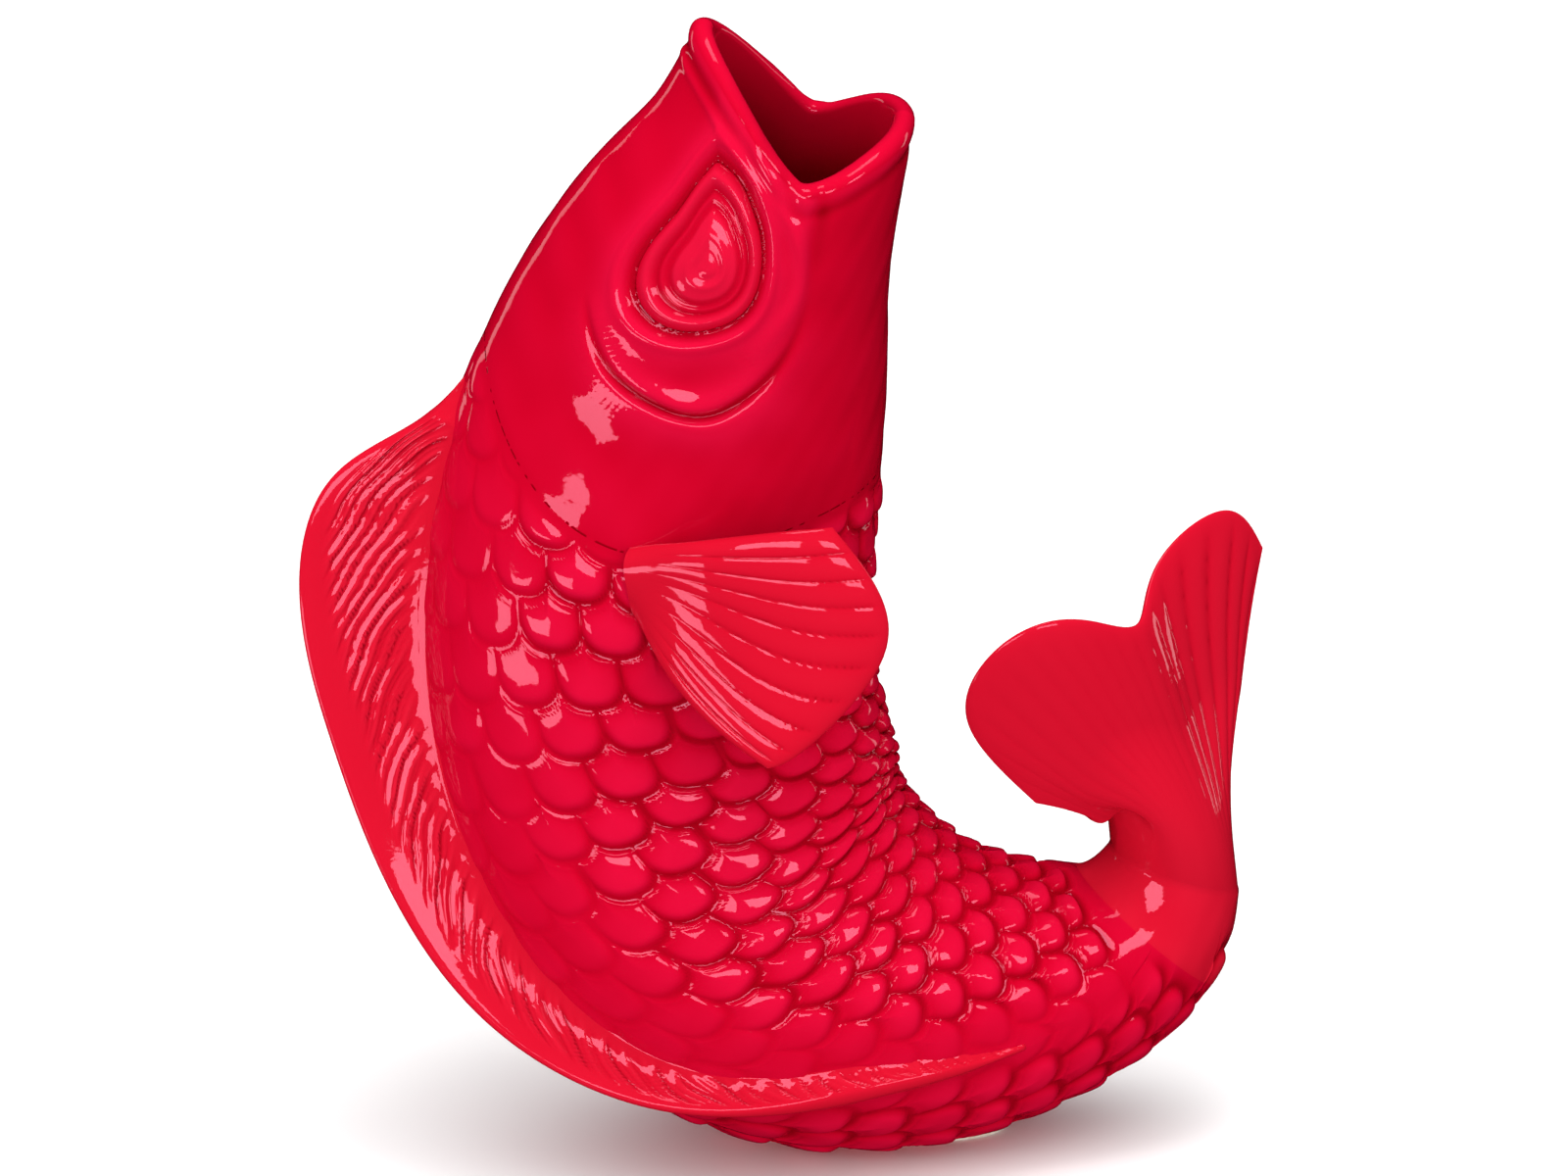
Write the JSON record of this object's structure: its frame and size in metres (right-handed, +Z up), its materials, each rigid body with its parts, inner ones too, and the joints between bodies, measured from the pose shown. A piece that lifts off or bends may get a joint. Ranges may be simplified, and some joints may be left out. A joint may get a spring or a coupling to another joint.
{
  "type": "fish vase",
  "caption": "Standing ceramic carp vase: open mouth at the top as the neck, hollow scaly body curling round to a raised tail, on a small flat foot",
  "frame": {"origin": "middle of the foot's underside, on the table", "axes": "+X is the side that the belly and the raised tail are on, +Z is up through the open mouth, and the fish's right flank faces -Y"},
  "size_m": [0.2466, 0.1534, 0.2992],
  "materials": {
    "body_glaze": "deep red gloss glaze over moulded scales, thicker and darker in the grooves, thinner on the raised edges",
    "fin_glaze": "red gloss glaze over ribbed fins, a little lighter where the glaze is thin",
    "eye_glaze": "red gloss glaze over fine raised rings",
    "bare_clay": "unglazed matt cream clay, wiped clean of glaze"
  },
  "bodies": {
    "root": {"head_shell": "body_glaze", "trunk_shell": "body_glaze", "tail_stalk": "body_glaze", "back_fin": "fin_glaze", "tail_fin": "fin_glaze", "breast_fin_right": "fin_glaze", "breast_fin_left": "fin_glaze", "eye_right": "eye_glaze", "eye_left": "eye_glaze", "foot": "bare_clay"}
  },
  "joints": []
}
